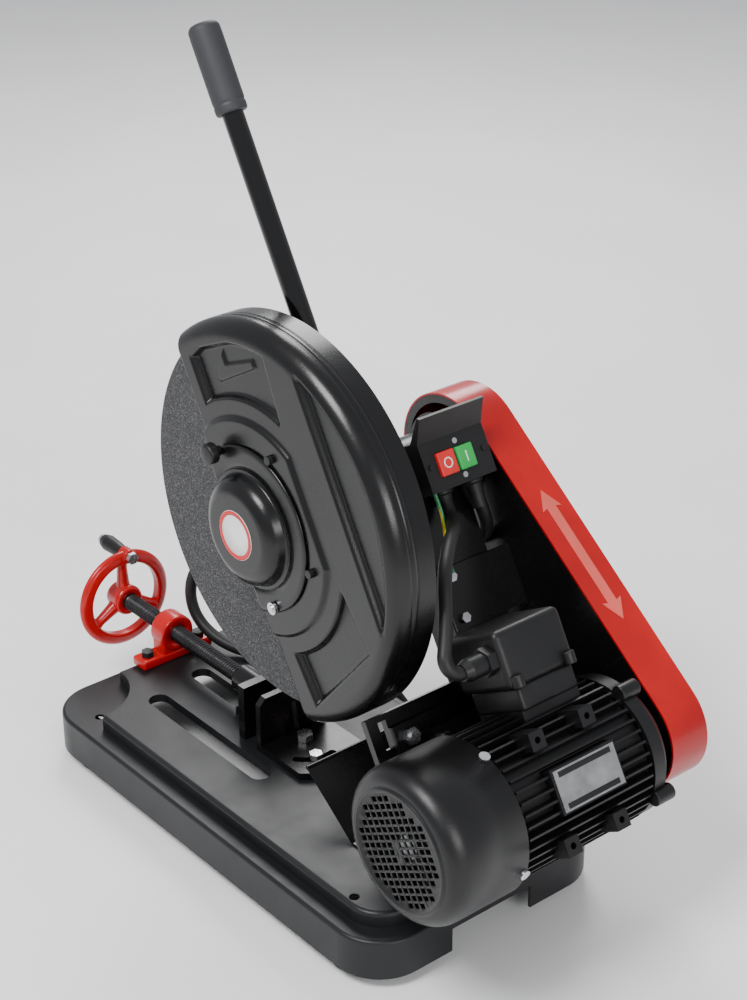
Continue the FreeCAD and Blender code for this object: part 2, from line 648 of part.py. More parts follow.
def make_guard():
    radius, wall = dim["guard_radius"], dim["guard_sheet"]
    rear_x, seam, front_x = dim["guard_rear_x"], dim["guard_seam_x"], dim["guard_front_x"]
    chord = dim["guard_chord"]
    span = box((rear_x - 1, chord, -radius - 1), (front_x + 30, radius + 1, radius + 1))
    can = cut(rod(radius, rear_x, seam, "x", (0, 0)),
              rod(radius - wall, rear_x + wall, seam + 1, "x", (0, 0)))
    collar = tube(46, dim["housing_radius"] + 0.02, rear_x, rear_x + 7, "x", (0, 0))
    mouth = rod(dim["housing_radius"] + 0.02, rear_x - 2, seam, "x", (0, 0))
    node("guard_rear", common(cut(fuse(can, collar), mouth), span), ARM)

    profile = [(seam, radius), (front_x - 11, radius), (front_x - 5, radius - 2),
               (front_x - 1.5, radius - 6), (front_x, radius - 11), (front_x, 75),
               (front_x - wall, 75), (front_x - wall, radius - 12), (front_x - 8, radius - 4.5),
               (front_x - 12, radius - wall), (seam, radius - wall)]
    shell = common(turned(profile), twin_block(span))
    upper = [(-16, 182), (7, 187), (78, 176), (109, 158), (98, 87), (51, 126), (-16, 127)]
    lower = [(101, -79), (115, -146), (-5, -186), (-14, -129), (59, -115)]
    hollows = [extruded("yz", points, front_x - 1.2, front_x + 1) for points in (upper, lower)]
    segment = common(rod(197, front_x - 1.2, front_x + 1, "x", (0, 0)),
                     box((front_x - 2, 145, -135), (front_x + 2, 200, 135)))
    screw_hole = rod(4.02, front_x - 5, front_x + 1, "x", (dim["hub_screw_y"], dim["hub_screw_z"]))
    node("guard_front", cut(shell, *hollows, segment, screw_hole), ARM)

    clips = []
    for y, z in ((67, 57), (68, -51)):
        outward = Vector(y, z, 0).normalize()
        at = (outward.x * 93, outward.y * 93)
        clips.append(rod(4.5, front_x, front_x + 4.6, "x", at))
    screw_at = (dim["hub_screw_y"], dim["hub_screw_z"])
    clips.append(fuse(rod(4, front_x - 4, front_x + 9, "x", screw_at),
                      rod(6.5, front_x + 4.4, front_x + 7.5, "x", screw_at)))
    small_fasteners.extend(clips)


def twin_block(span):
    """A second block of the same size, so that no block has two owners."""
    copy = doc.addObject("Part::Box", "Block")
    for prop in ("Length", "Width", "Height"):
        copy.setExpression(prop, f"{span.Name}.{prop}")
    copy.Placement = span.Placement
    return copy


def make_hub_cover():
    start = dim["guard_front_x"] + 0.4
    radius = dim["hub_cover_radius"]
    dome = [(start, 64), (start + 3, 64), (start + 3, 60), (start + 16, 54), (start + 21.5, 46),
            (start + 21.5, 0), (start + 19, 0), (start + 19, 44.5), (start + 14, 51.5), (start, 57.4)]
    rim = tube(radius, 60, start, start + 3, "x", (0, 0))
    rim = common(rim, box((start - 1, dim["guard_chord"], -90), (start + 30, 90, 90)))
    plate = fuse(turned(dome), rim)
    screw_at = (dim["hub_screw_y"], dim["hub_screw_z"])
    ear = rod(11, start, start + 3, "x", screw_at)
    hole = rod(4.06, start - 1, start + 4, "x", screw_at)
    node("hub_cover", cut(fuse(plate, ear), hole), ARM)
    knob_at = (-6, 84)
    knob = fuse(rod(5, start + 3, start + 12, "x", knob_at), rod(11, start + 10, start + 22, "x", knob_at))
    node("cover_knob", knob, ARM)


# ---------------------------------------------------------------- belt side
def axle_points():
    return (as_size(0), as_size(0)), (dim["motor_y"], dim["motor_z"])


def make_belt_cover():
    spindle, motor = axle_points()
    wall, far, near = dim["cover_sheet"], dim["cover_closed_x"], dim["cover_open_x"]
    big, small = dim["cover_spindle_radius"], dim["cover_motor_radius"]
    shell = cut(stadium(big, spindle, small, motor, far, near),
                stadium(big - wall, spindle, small - wall, motor, far + wall, near + 1))
    node("belt_cover", shell, ARM)

    back = stadium(big - wall - 0.4, spindle, small - wall - 0.4, motor, near - 2.5, near)
    back = cut(back, rod(58, near - 3, near + 1, "x", spindle), rod(46, near - 3, near + 1, "x", motor))
    side = box((near - 2, 20, -169), (near + 0.5, 52.5, -112))
    face = box((near - 2, 50, -169), (-58, 52.5, -104))
    pad = box((-128, 48, -165), (-104, 51, -110))
    holes = [rod(3.2, 40, 60, "y", at) for at in SHEET_SCREWS]
    node("cover_bracket", cut(fuse(back, side, face, pad), *holes), ARM)


def make_pulleys():
    spindle, motor = axle_points()
    depth = dim["groove_depth"]
    spots = (("spindle_pulley", spindle, dim["spindle_pulley_radius"], dim["spindle_radius"]),
             ("motor_pulley", motor, dim["motor_pulley_radius"], dim["motor_shaft_radius"]))
    for name, at, rim, bore in spots:
        floor = rim - depth
        profile = [(-196, bore), (-196, rim), (-192.4, rim), (-192.4, floor), (-178.6, floor),
                   (-178.6, rim), (-176.4, rim), (-176.4, floor), (-162.6, floor), (-162.6, rim),
                   (-159, rim), (-159, bore)]
        node(name, turned(profile, (0, *at)), ARM)
    belts = []
    for start in (-192, -176):
        outer = stadium(dim["motor_pulley_radius"], motor, dim["spindle_pulley_radius"], spindle,
                        start, start + 13)
        inner = stadium(dim["motor_pulley_radius"] - 8, motor, dim["spindle_pulley_radius"] - 8, spindle,
                        start, start + 13)
        belts.append(cut(outer, inner))
    node("v_belts", compound(*belts), ARM)


# ---------------------------------------------------------------- motor
def from_motor(y, z):
    """A point given from the motor's axis, in the arm frame."""
    return dim["motor_y"] + y, dim["motor_z"] + z


def motor_box(low, high):
    """A block whose corners are given from the motor's axis."""
    return box((low[0], *from_motor(low[1], low[2])), (high[0], *from_motor(high[1], high[2])))


def cooling_fins(count):
    """Thin ribs along the shell, evenly spaced round it."""
    inner, outer, thick = dim["shell_radius"] - 2, dim["fin_radius"], 2.4
    fins = []
    for index in range(count):
        angle = 2 * math.pi * (index + 0.5) / count
        fin = doc.addObject("Part::Box", "Fin")
        bind(fin, "Length", dim["frame_right"] - dim["frame_left"] - 8)
        bind(fin, "Width", outer - inner)
        bind(fin, "Height", thick)
        y = dim["motor_y"] + inner * math.cos(angle) + thick / 2 * math.sin(angle)
        z = dim["motor_z"] + inner * math.sin(angle) - thick / 2 * math.cos(angle)
        turn = Rotation(Vector(1, 0, 0), math.degrees(angle))
        fins.append(place(fin, (dim["frame_left"] + 4, y, z), turn))
    return fins


def make_motor_frame():
    left, right = dim["frame_left"], dim["frame_right"]
    axis = axle_points()[1]
    foot_face = dim["motor_plate_y"] + dim["plate_thick"]
    shell = rod(dim["shell_radius"], left, right, "x", axis)
    pieces = [shell, *cooling_fins(40)]
    for side in (-1, 1):
        foot_z = sorted((dim["motor_z"].value + side * 45, dim["motor_z"].value + side * 76))
        riser_z = sorted((dim["motor_z"].value + side * 44, dim["motor_z"].value + side * 52))
        pieces.append(box((-72, foot_face, foot_z[0]), (24, 72, foot_z[1])))
        pieces.append(box((-72, 70, riser_z[0]), (24, 100, riser_z[1])))
        for x in (-55, 10):
            pad_z = sorted((side * 44, side * 62))
            pieces.append(motor_box((x - 9, 34, pad_z[0]), (x + 9, 70, pad_z[1])))
    pieces.append(motor_box((-70, 60, -22), (14, 76.5, 23)))
    pieces.append(motor_box((-84, -34, 58), (-10, 34, 76)))
    tools = [rod(dim["stator_radius"], left - 1, right + 1, "x", axis)]
    tools += [rod(4.2, foot_face - 1, 74, "y", at) for at in motor_foot_spots()]
    tools += [rod(3.4, dim["motor_y"] + 50, dim["motor_y"] + 72, "y", (x, dim["motor_z"] + z))
              for x in (-55, 10) for z in (-53, 53)]
    node("motor_frame", cut(fuse(*pieces), *tools), ARM)
    core = tube(dim["stator_radius"] - 0.02, dim["rotor_radius"] + 0.5, -70, 45, "x", axis)
    node("stator_core", core, ARM)


def make_end_bells():
    bore = dim["motor_shaft_radius"] + dim["running_gap"]
    at = (0, *axle_points()[1])
    left, right = dim["frame_left"], dim["frame_right"]
    face, back = dim["bell_left"], dim["bell_right"]
    drive = [(left, 75), (face + 9, 75), (face, 67), (face, 32), (face - 5, 32), (face - 5, bore),
             (left - 5, bore), (left - 5, 32), (face + 7, 36), (face + 7, 62), (left - 9, 68), (left, 68)]
    fan = [(right, 75), (right, 68), (right + 4, 68), (right + 9, 62), (right + 9, 32), (right + 4, 28),
           (right + 4, bore), (back + 4, bore), (back + 4, 30), (back, 30), (back, 68), (back - 6, 75)]
    node("drive_end_bell", turned(drive, at), ARM)
    node("fan_end_bell", turned(fan, at), ARM)


def spoke_rod(radius, start, end, x, angle):
    """A short bar that points away from the motor's axis."""
    bar = doc.addObject("Part::Cylinder", "Pin")
    bind(bar, "Radius", radius)
    bind(bar, "Height", as_size(end) - start)
    outward = Vector(0, math.cos(angle), math.sin(angle))
    spot = from_motor(as_size(start) * math.cos(angle), as_size(start) * math.sin(angle))
    return place(bar, (x, *spot), Rotation(Vector(0, 0, 1), outward))


def fan_screw_angles():
    return [math.radians(45 + 90 * index) for index in range(4)]


def make_fan_cover():
    radius, end = dim["fan_cover_radius"], dim["fan_cover_right"]
    at = (0, *axle_points()[1])
    profile = [(62, radius), (end - 8, radius), (end, radius - 8), (end, 0), (end - 1.5, 0),
               (end - 1.5, radius - 8.6), (end - 8.6, radius - 1.5), (62, radius - 1.5)]
    slots = []
    for row in range(-6, 7):
        for column in range(-3, 4):
            y, z = column * 20, row * 10
            if math.hypot(abs(y) + 8, abs(z) + 3) < 69:
                slots.append(motor_box((150, y - 8, z - 2.8), (156, y + 8, z + 2.8)))
    holes = [spoke_rod(3.1, 70, 90, 66, angle) for angle in fan_screw_angles()]
    node("fan_cover", cut(turned(profile, at), *slots, *holes), ARM)


def make_rotor():
    axis = axle_points()[1]
    radius = dim["motor_shaft_radius"]
    node("motor_rotor", fuse(rod(dim["rotor_radius"], -60, 42, "x", axis), rod(radius, -198, 140, "x", axis)),
         ARM)
    pieces = [rod(16, 100, 138, "x", axis), rod(60, 100, 103, "x", axis)]
    for index in range(8):
        angle = 2 * math.pi * index / 8
        blade = doc.addObject("Part::Box", "Blade")
        bind(blade, "Length", 32)
        bind(blade, "Width", 54)
        bind(blade, "Height", 2.4)
        turn = Rotation(Vector(1, 0, 0), math.degrees(angle))
        spot = from_motor(14 * math.cos(angle), 14 * math.sin(angle))
        pieces.append(place(blade, (102, *spot), turn))
    node("cooling_fan", cut(fuse(*pieces), rod(radius + 0.01, 90, 145, "x", axis)), ARM)


GLAND_SPOT = (22, 132)


def make_terminal_box():
    base = cut(motor_box((-84, -38, 76), (-10, 38, 99)), motor_box((-80, -34, 80), (-14, 34, 100)))
    node("terminal_box", base, ARM)
    lid = cut(motor_box((-89, -40, 99), (-2, 40, 158)), motor_box((-86, -37, 98), (-5, 37, 155)))
    gland_at = from_motor(*GLAND_SPOT)
    node("terminal_box_lid", cut(lid, rod(9.5, -6, -1, "x", gland_at)), ARM)
    gland = fuse(rod(9.4, -8, 0, "x", gland_at), hexagon(26, -2, 8, "x", gland_at),
                 rod(11.5, 8, 26, "x", gland_at), cone(11.5, 8.6, 26, 34, "x", gland_at))
    node("cable_gland", cut(gland, rod(dim["lead_radius"] + 0.05, -9, 35, "x", gland_at)), ARM)
    plate = motor_box((-68, 76.5, -20), (11.5, 77.7, 21))
    rivets = [rod(1.6, dim["motor_y"] + 77.7, dim["motor_y"] + 78.6, "y", (x, dim["motor_z"] + z))
              for x in (-65, 8.5) for z in (-17, 18)]
    node("nameplate", fuse(plate, *rivets), ARM)


# ---------------------------------------------------------------- switch
BUTTONS = {"stop_button": (-99.7, -77.0, -14.5, 10.5), "start_button": (-124.0, -102.5, -14.5, 10.0)}
SWITCH_SCREWS = [(-105.7, 16.5), (-105.7, -19.5), (-68, -1.5), (-139, -1)]
LEAD_HOLES = [(-88, 62), (-126, 66)]


def make_switch():
    left, right, low = SWITCH_BOX["left"], SWITCH_BOX["right"], SWITCH_BOX["low"]
    side = [(40, low), (85, low), (85, 24.5), (102, 48.5), (99, 50.5), (74, 27), (40, 27)]
    shell = cut(extruded("yz", side, left, right), box((left + 2.5, 42.5, low + 2.5), (right - 2.5, 86, 22)))
    holes = [rod(dim["lead_radius"] + 0.2, low - 1, low + 4, "z", at) for at in LEAD_HOLES]
    holes.append(rod(2.2, low - 1, low + 4, "z", (-70, 74)))
    node("switch_box", cut(shell, *holes), ARM)

    plate = box((left + 2.6, 82.5, low + 2.6), (right - 2.6, 85, 21.9))
    mouths = [box((x0 - 0.4, 82, z0 - 0.4), (x1 + 0.4, 86, z1 + 0.4))
              for x0, x1, z0, z1 in BUTTONS.values()]
    screw_holes = [rod(1.6, 80, 86, "y", at) for at in SWITCH_SCREWS]
    node("switch_plate", cut(plate, *mouths, *screw_holes), ARM)
    node("switch_contacts", box((-122, 43, -13), (-78, 64, 9)), ARM)
    for name, (x0, x1, z0, z1) in BUTTONS.items():
        node(name, box((x0, 70, z0), (x1, 88.5, z1)), ARM)


def make_small_screws():
    """The fasteners of the guard, the switch plate and the fan cover."""
    radius = dim["fan_cover_radius"]
    for at in SWITCH_SCREWS:
        small_fasteners.append(fuse(rod(1.5, 76, 86, "y", at), rod(3, 85, 86.6, "y", at)))
    for angle in fan_screw_angles():
        small_fasteners.append(fuse(spoke_rod(3, 75, radius + 2, 66, angle),
                                    spoke_rod(5.5, radius, radius + 3, 66, angle)))
    node("small_screws", compound(*small_fasteners), ARM)


# ---------------------------------------------------------------- leads
MOTOR_LEAD = [(4, 163.6, -188.8), (58, 163.6, -188.8), (31, 162, -140), (12, 158, -96), (-26, 133, -70),
              (-64, 97, -66), (-86, 66, -54), (-88, 62, -26)]
EARTH_WIRE = [(-70, 74, -26), (-70, 75, -52), (-67, 70, -78), (-69, 61.4, -100), (-71, 59.5, -110)]
MAINS_LEAD = [(-126, 111.2, 412.4), (-128, 126.2, 386.5), (-141, 124.6, 353.3), (-146, 101.1, 325.9),
              (-145, 68.7, 314.1), (-138, 10, 300), (-124, -52, 288), (-108, -112, 274),
              (-90, -168, 256), (-70, -220, 230), (-52, -258, 196), (-42, -277, 164),
              (-38, -280, 134), (-38, -266, 108), (-44, -238, 92), (-58, -208, 83.4),
              (-78, -180, 82.6), (-102, -157, 82.6), (-128, -136, 84), (-153, -114, 84),
              (-175, -92, 62), (-184, -66, 33), (-186, -34, 12), (-185, 4, 7.6), (-184, 40, 7.6)]
PLUG_LEAD = [(-340, 62, 21), (-340, 34, 20), (-342, 6, 26), (-341, -20, 27)]
COIL_CENTRE = (-262, 60)
COIL_RADIUS = 78


def make_leads():
    radius = dim["lead_radius"].value
    cable("motor_lead", MOTOR_LEAD, radius, ARM)
    cable("earth_wire", EARTH_WIRE, 2.0, ARM)
    cable("mains_lead", MAINS_LEAD, radius, BASE)
    cable("plug_lead", PLUG_LEAD, radius, BASE)
    coil = tube(COIL_RADIUS + radius + 0.5, COIL_RADIUS - radius - 0.5, 0.2, 28.2, "z", COIL_CENTRE)
    node("lead_coil", coil, BASE)
    at = (-341, 27)
    body = fuse(cone(22, 11, -60, -20, "y", at), rod(26, -108, -60, "y", at), rod(21, -122, -108, "y", at))
    body = cut(body, rod(radius + 0.1, -36, -19, "y", at))
    pins = [rod(2.4, -140, -121, "y", (at[0] + 12 * math.cos(a), at[1] + 12 * math.sin(a)))
            for a in (math.radians(90 * index + 45) for index in range(4))]
    node("mains_plug", fuse(body, *pins), BASE)


def check_and_write():
    doc.recompute()
    failed = [thing.Name for thing in doc.Objects if {"Invalid", "Error"} & set(thing.State)]
    assert not failed, f"failed objects: {failed}"
    os.makedirs("parts", exist_ok=True)
    for name, piece in nodes.items():
        shape = piece.Shape
        assert not shape.isNull() and shape.isValid(), f"bad shape: {name}"
        shape.exportStep(f"parts/{name}.step")
        print(f"{name}: {len(shape.Solids)} solids, {shape.Volume / 1000:.1f} cm3")


def main():
    for make in (make_base_tray, make_feet, make_base_bolts, make_deflector, make_pivot_bracket,
                 make_vise_bracket, make_jaw, make_screw, make_fence, make_arm_frame, make_motor_plate,
                 make_housing, make_handle, make_spindle, make_guard, make_hub_cover, make_belt_cover,
                 make_pulleys, make_motor_frame, make_end_bells, make_fan_cover, make_rotor,
                 make_terminal_box, make_switch, make_small_screws, make_leads):
        make()
    check_and_write()


main()
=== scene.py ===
"""The looks of an abrasive chop saw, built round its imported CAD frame. Lengths are in metres."""
import json
import math

import bmesh
import bpy
import numpy as np
from mathutils import Matrix, Vector


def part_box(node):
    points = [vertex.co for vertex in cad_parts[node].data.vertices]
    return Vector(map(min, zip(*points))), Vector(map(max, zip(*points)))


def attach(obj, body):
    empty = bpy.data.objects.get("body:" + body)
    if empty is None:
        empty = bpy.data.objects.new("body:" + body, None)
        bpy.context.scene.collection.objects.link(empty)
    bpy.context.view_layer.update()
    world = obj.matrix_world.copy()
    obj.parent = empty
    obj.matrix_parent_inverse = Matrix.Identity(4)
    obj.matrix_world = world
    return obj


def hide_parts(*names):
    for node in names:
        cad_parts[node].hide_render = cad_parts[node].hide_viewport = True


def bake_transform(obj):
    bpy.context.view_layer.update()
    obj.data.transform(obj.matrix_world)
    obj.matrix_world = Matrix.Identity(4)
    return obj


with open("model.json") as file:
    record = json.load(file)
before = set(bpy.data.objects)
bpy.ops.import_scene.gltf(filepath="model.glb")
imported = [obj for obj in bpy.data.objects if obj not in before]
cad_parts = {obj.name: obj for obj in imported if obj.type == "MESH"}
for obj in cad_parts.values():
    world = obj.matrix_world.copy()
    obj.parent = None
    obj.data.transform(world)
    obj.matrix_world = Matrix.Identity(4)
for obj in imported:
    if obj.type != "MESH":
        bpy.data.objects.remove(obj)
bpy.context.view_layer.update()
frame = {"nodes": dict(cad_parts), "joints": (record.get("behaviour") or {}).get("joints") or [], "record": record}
MM = 0.001

# ---------------------------------------------------------------- places taken from the frame
# the arm's axes are the frame's, turned about X by its tilt at rest
TILT = math.radians(30)
WORLD = Matrix.Identity(4)
JOINTS = {joint["name"]: joint for joint in frame["joints"]}
SPINDLE = Vector(JOINTS["spindle_spin"]["pos_m"])
MOTOR = Vector(JOINTS["motor_spin"]["pos_m"])
SCREW_AXIS = Vector(JOINTS["vise_screw_turn"]["pos_m"])
ARM_MATRIX = Matrix.Translation(SPINDLE) @ Matrix.Rotation(TILT, 4, "X")
MOTOR_MATRIX = Matrix.Translation(MOTOR) @ Matrix.Rotation(TILT, 4, "X")


# ---------------------------------------------------------------- materials
class Shader:
    """A small helper round one material's node tree."""

    def __init__(self, name):
        self.material = bpy.data.materials.new(name)
        self.material.use_nodes = True
        self.tree = self.material.node_tree
        self.surface = self.tree.nodes["Principled BSDF"]
        self.place = self.node("ShaderNodeTexCoord").outputs["Object"]

    def node(self, kind, **values):
        made = self.tree.nodes.new(kind)
        for key, value in values.items():
            setattr(made, key, value)
        return made

    def link(self, source, target):
        self.tree.links.new(source, target)

    def noise(self, scale, detail=4.0, stretch=None):
        place = self.place
        if stretch is not None:
            mapping = self.node("ShaderNodeMapping")
            mapping.inputs["Scale"].default_value = stretch
            self.link(self.place, mapping.inputs["Vector"])
            place = mapping.outputs["Vector"]
        noise = self.node("ShaderNodeTexNoise")
        noise.inputs["Scale"].default_value = scale
        noise.inputs["Detail"].default_value = detail
        self.link(place, noise.inputs["Vector"])
        return noise.outputs["Fac"]

    def ramp(self, source, stops):
        ramp = self.node("ShaderNodeValToRGB")
        elements = ramp.color_ramp.elements
        while len(elements) < len(stops):
            elements.new(0.5)
        for element, (position, color) in zip(elements, stops):
            element.position = position
            element.color = (*color, 1)
        self.link(source, ramp.inputs["Fac"])
        return ramp.outputs["Color"]

    def vary_color(self, source, dark, light, low=0.3, high=0.7):
        self.link(self.ramp(source, [(low, dark), (high, light)]), self.surface.inputs["Base Color"])

    def vary_roughness(self, source, low, high):
        spread = self.node("ShaderNodeMapRange")
        spread.inputs["To Min"].default_value = low
        spread.inputs["To Max"].default_value = high
        self.link(source, spread.inputs["Value"])
        self.link(spread.outputs["Result"], self.surface.inputs["Roughness"])

    def bump(self, source, strength, distance):
        bump = self.node("ShaderNodeBump")
        bump.inputs["Strength"].default_value = strength
        bump.inputs["Distance"].default_value = distance
        self.link(source, bump.inputs["Height"])
        self.link(bump.outputs["Normal"], self.surface.inputs["Normal"])

    def set(self, **values):
        for key, value in values.items():
            self.surface.inputs[key.replace("_", " ")].default_value = value
        return self


def shade(color, factor):
    """A colour made darker or lighter."""
    return tuple(min(1.0, channel * factor) for channel in color)


def paint(name, color, rough, grain, bump, coat=0.0, specular=0.5):
    """Paint over steel: a faint orange-peel bump, dusty patches and a little spread in gloss."""
    shader = Shader(name).set(Coat_Weight=coat, Coat_Roughness=0.12, Specular_IOR_Level=specular)
    patches = shader.noise(9.0, 6.0)
    shader.vary_color(patches, shade(color, 0.8), shade(color, 1.3))
    shader.vary_roughness(shader.noise(35.0, 5.0), rough * 0.8, rough * 1.25)
    shader.bump(shader.noise(grain, 3.0), bump, 0.0004)
    return shader.material


def metal(name, color, rough, stretch=(1, 1, 1)):
    """Bare metal; stretch draws its streaks out along an axis."""
    shader = Shader(name).set(Metallic=1.0)
    shader.vary_color(shader.noise(60.0, 4.0), shade(color, 0.75), shade(color, 1.15))
    streaks = shader.noise(400.0, 4.0, stretch)
    shader.vary_roughness(streaks, rough * 0.7, rough * 1.4)
    shader.bump(streaks, 0.12, 0.0002)
    return shader.material


def plastic(name, color, rough, grain=1400.0, bump=0.25):
    """Moulded plastic, rubber or print: a fine grain and a slight spread in gloss."""
    shader = Shader(name).set(Specular_IOR_Level=0.38)
    shader.vary_color(shader.noise(14.0, 3.0), shade(color, 0.88), shade(color, 1.15))
    shader.vary_roughness(shader.noise(50.0, 4.0), rough * 0.85, rough * 1.2)
    shader.bump(shader.noise(grain, 2.0), bump, 0.0002)
    return shader.material


def abrasive(name):
    """Dark resin full of grit: most grains are near black and a few catch the light."""
    shader = Shader(name).set(Roughness=0.72)
    cells = shader.node("ShaderNodeTexVoronoi")
    cells.inputs["Scale"].default_value = 1150.0
    shader.link(shader.place, cells.inputs["Vector"])
    grey = shader.node("ShaderNodeRGBToBW")
    shader.link(cells.outputs["Color"], grey.inputs["Color"])
    stops = [(0.0, (0.008, 0.008, 0.009)), (0.5, (0.026, 0.026, 0.028)), (0.74, (0.07, 0.07, 0.074)),
             (0.9, (0.2, 0.2, 0.21))]
    shader.link(shader.ramp(grey.outputs["Val"], stops), shader.surface.inputs["Base Color"])
    shader.bump(grey.outputs["Val"], 0.7, 0.0006)
    return shader.material


def striped_wire(name):
    """Green insulation with a yellow stripe that runs round it."""
    shader = Shader(name).set(Roughness=0.35)
    wave = shader.node("ShaderNodeTexWave")
    wave.inputs["Scale"].default_value = 22.0
    wave.inputs["Distortion"].default_value = 1.5
    shader.link(shader.place, wave.inputs["Vector"])
    shader.vary_color(wave.outputs["Fac"], (0.02, 0.22, 0.08), (0.75, 0.62, 0.02), 0.35, 0.45)
    return shader.material


MATERIALS = {
    "base_steel": paint("base_steel", (0.0075, 0.008, 0.009), 0.4, 700, 0.3, specular=0.34),
    "black_sheet": paint("black_sheet", (0.003, 0.003, 0.0033), 0.26, 500, 0.18, specular=0.42),
    "motor_paint": paint("motor_paint", (0.004, 0.004, 0.0045), 0.36, 900, 0.4, specular=0.4),
    "red_paint": paint("red_paint", (0.4, 0.0012, 0.002), 0.25, 300, 0.15, coat=0.2, specular=0.35),
    "handle_paint": paint("handle_paint", (0.002, 0.002, 0.0023), 0.12, 250, 0.08, specular=0.5),
    "zinc": metal("zinc", (0.68, 0.68, 0.7), 0.27),
    "steel": metal("steel", (0.5, 0.5, 0.51), 0.3, (1, 12, 12)),
    "screw_steel": metal("screw_steel", (0.06, 0.06, 0.062), 0.36),
    "bronze": metal("bronze", (0.5, 0.3, 0.13), 0.42),
    "pulley_iron": metal("pulley_iron", (0.2, 0.2, 0.2), 0.5),
    "plate_metal": metal("plate_metal", (0.42, 0.42, 0.43), 0.38, (1, 30, 1)),
    "abrasive": abrasive("abrasive"),
    "grip_rubber": plastic("grip_rubber", (0.03, 0.031, 0.034), 0.55, 900, 0.5),
    "black_rubber": plastic("black_rubber", (0.008, 0.008, 0.008), 0.5, 900, 0.35),
    "black_plastic": plastic("black_plastic", (0.006, 0.006, 0.0065), 0.42, 1500, 0.4),
    "red_plastic": plastic("red_plastic", (0.62, 0.022, 0.022), 0.32, 1500, 0.15),
    "green_plastic": plastic("green_plastic", (0.02, 0.36, 0.07), 0.32, 1500, 0.15),
    "wire_plastic": striped_wire("wire_plastic"),
    "white_print": plastic("white_print", (0.82, 0.82, 0.8), 0.4, 800, 0.1),
    "red_print": plastic("red_print", (0.62, 0.02, 0.02), 0.38, 800, 0.1),
    "pale_red_print": plastic("pale_red_print", (0.62, 0.095, 0.075), 0.35, 800, 0.1),
}


# boxes round fastener heads that are black, in millimetres of their own frame
HUB_CLIPS = (95, 40, -80), (112, 90, 80)
VISE_BOLTS = (-60, -285, 60), (60, -245, 110)
SWITCH_SIDE_SCREWS = [((x - 6, 80, -8), (x + 6, 100, 6)) for x in (-139, -68)]


def blacken(node, low, high, matrix):
    """Gives black plastic to the faces of a node whose centres lie in a box, in millimetres."""
    mesh = frame["nodes"][node].data
    if len(mesh.materials) == 1:
        mesh.materials.append(MATERIALS["black_plastic"])
    inverse = matrix.inverted()
    for face in mesh.polygons:
        at = inverse @ face.center / MM
        if all(low[i] <= at[i] <= high[i] for i in range(3)):
            face.material_index = 1


def paint_cad_nodes():
    """Gives every CAD node the material of its slot, and black heads to some fasteners."""
    for part in frame["record"]["subparts"]:
        mesh = frame["nodes"][part["node"]].data
        mesh.materials.clear()
        mesh.materials.append(MATERIALS[part["material_slot"]])
    for low, high in (HUB_CLIPS, *SWITCH_SIDE_SCREWS):
        blacken("small_screws", low, high, ARM_MATRIX)
    blacken("base_bolts", *VISE_BOLTS, WORLD)


# ---------------------------------------------------------------- mesh helpers
BOX_FACES = [(0, 1, 3, 2), (4, 6, 7, 5), (0, 4, 5, 1), (2, 3, 7, 6), (0, 2, 6, 4), (1, 5, 7, 3)]
# the radius, in millimetres, that a turned end narrows to instead of a point
CLOSED_RADIUS = 0.02


def shift(x, y, z):
    """A move given in millimetres."""
    return Matrix.Translation((x * MM, y * MM, z * MM))


def face_outwards(mesh):
    """Turns the faces of a closed mesh outwards; an open sheet keeps its own."""
    shell = bmesh.new()
    shell.from_mesh(mesh)
    if all(edge.is_manifold for edge in shell.edges):
        bmesh.ops.recalc_face_normals(shell, faces=shell.faces)
        shell.to_mesh(mesh)
    shell.free()


def new_piece(name, vertices, faces, material, body, matrix=None, smooth=True):
    """A visible mesh with one material that rides on a body."""
    mesh = bpy.data.meshes.new(name)
    mesh.from_pydata([tuple(v) for v in vertices], [], faces)
    face_outwards(mesh)
    mesh.update()
    mesh.polygons.foreach_set("use_smooth", [smooth] * len(mesh.polygons))
    if matrix is not None:
        mesh.transform(matrix)
    mesh.materials.append(MATERIALS[material])
    piece = bpy.data.objects.new(name, mesh)
    bpy.context.scene.collection.objects.link(piece)
    if body is not None:
        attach(piece, body)
    return piece


def grid_faces(rows, columns, wrap=False):
    """Quads over a grid of vertices; wrap joins the last column to the first."""
    faces = []
    last = columns if wrap else columns - 1
    for row in range(rows - 1):
        for column in range(last):
            following = (column + 1) % columns
            faces.append((row * columns + column, row * columns + following,
                          (row + 1) * columns + following, (row + 1) * columns + column))
    return faces


def capped_faces(rows, columns):
    """The faces of a tube made of rings of vertices, with a cap on each end."""
    last = (rows - 1) * columns
    caps = [tuple(reversed(range(columns))), tuple(range(last, last + columns))]
    return grid_faces(rows, columns, wrap=True) + caps


def box_corners(low, high):
    """The corners in metres of a block given in millimetres."""
    return [(x * MM, y * MM, z * MM) for x in (low[0], high[0]) for y in (low[1], high[1])
            for z in (low[2], high[2])]


def lathe(name, profile, material, body, matrix, segments=96, ring=False):
    """Turns (x, radius) points in millimetres about X.

    A ring's section closes on itself; any other profile gets end caps.
    """
    vertices = []
    for x, radius in profile:
        reach = max(radius, CLOSED_RADIUS) * MM
        for index in range(segments):
            angle = 2 * math.pi * index / segments
            vertices.append((x * MM, reach * math.cos(angle), reach * math.sin(angle)))
    if ring:
        rows = grid_faces(len(profile) + 1, segments, wrap=True)
        faces = [tuple(index % len(vertices) for index in face) for face in rows]
    else:
        faces = capped_faces(len(profile), segments)
    return new_piece(name, vertices, faces, material, body, matrix)


